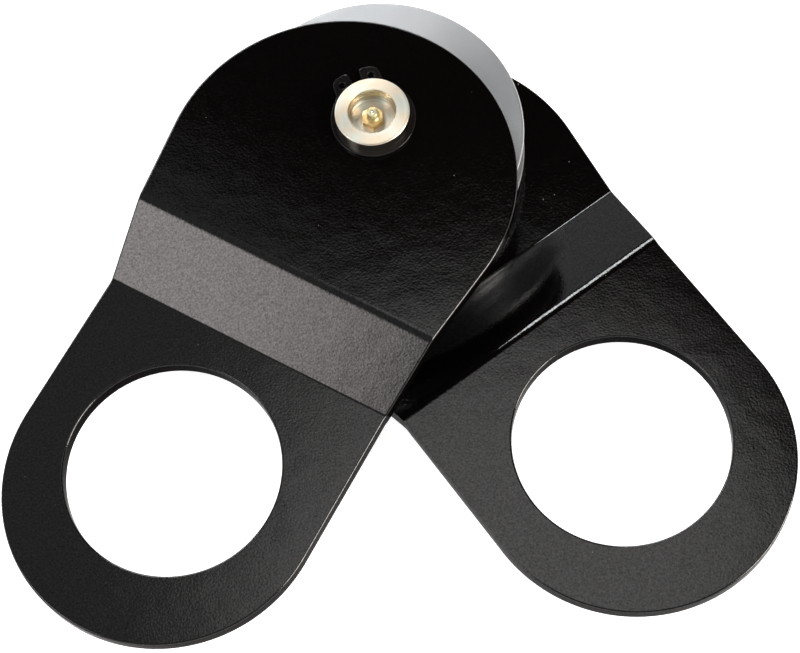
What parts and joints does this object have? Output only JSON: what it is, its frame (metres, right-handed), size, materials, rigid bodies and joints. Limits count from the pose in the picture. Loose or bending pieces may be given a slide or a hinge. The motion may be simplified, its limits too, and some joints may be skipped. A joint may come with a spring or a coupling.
{
  "type": "swing-cheek snatch block",
  "caption": "Pulley block whose joggled side plates swing apart on a greased pin, so that a rope can be laid onto the grooved sheave.",
  "frame": {"origin": "middle of the pin and of the rope groove", "axes": "+Z along the pin towards the end with the grease nipple, -Y half way between the two shackle eyes"},
  "size_m": [0.4046, 0.3502, 0.073],
  "materials": {
    "black_powder_coat": "semi-gloss powder coat with fine orange peel",
    "sheave_zinc": "satin zinc plate over turned steel",
    "pin_zinc": "bright zinc plate over turned steel",
    "bush_bronze": "machined bearing bronze",
    "washer_steel": "ground steel",
    "black_phosphate": "oiled black phosphate",
    "nipple_brass": "turned brass",
    "ball_steel": "polished steel",
    "spring_steel": "drawn spring wire"
  },
  "bodies": {
    "axle": {"axle_pin": "pin_zinc", "front_thrust_washer": "washer_steel", "rear_thrust_washer": "washer_steel", "front_circlip": "black_phosphate", "rear_circlip": "black_phosphate", "grease_nipple": "nipple_brass", "nipple_spring": "spring_steel"},
    "front_cheek": {"front_side_plate": "black_powder_coat"},
    "rear_cheek": {"rear_side_plate": "black_powder_coat"},
    "wheel": {"sheave_front_flange": "sheave_zinc", "sheave_core": "sheave_zinc", "sheave_rear_flange": "sheave_zinc", "sheave_bush": "bush_bronze"},
    "check_ball": {"nipple_ball": "ball_steel"}
  },
  "joints": [
    {"name": "front_cheek_swing", "type": "hinge", "parent": "axle", "child": "front_cheek", "pos_m": [0, 0, 0], "axis": [0, 0, 1], "continuous": true},
    {"name": "rear_cheek_swing", "type": "hinge", "parent": "axle", "child": "rear_cheek", "pos_m": [0, 0, 0], "axis": [0, 0, 1], "continuous": true},
    {"name": "sheave_spin", "type": "hinge", "parent": "axle", "child": "wheel", "pos_m": [0, 0, 0], "axis": [0, 0, 1], "continuous": true},
    {"name": "ball_travel", "type": "slide", "parent": "axle", "child": "check_ball", "axis": [0, 0, -1], "range_m": [0, 0.0008], "stiffness_N_per_m": 40, "springref_m": -0.0004, "deforming": ["nipple_spring"]}
  ]
}
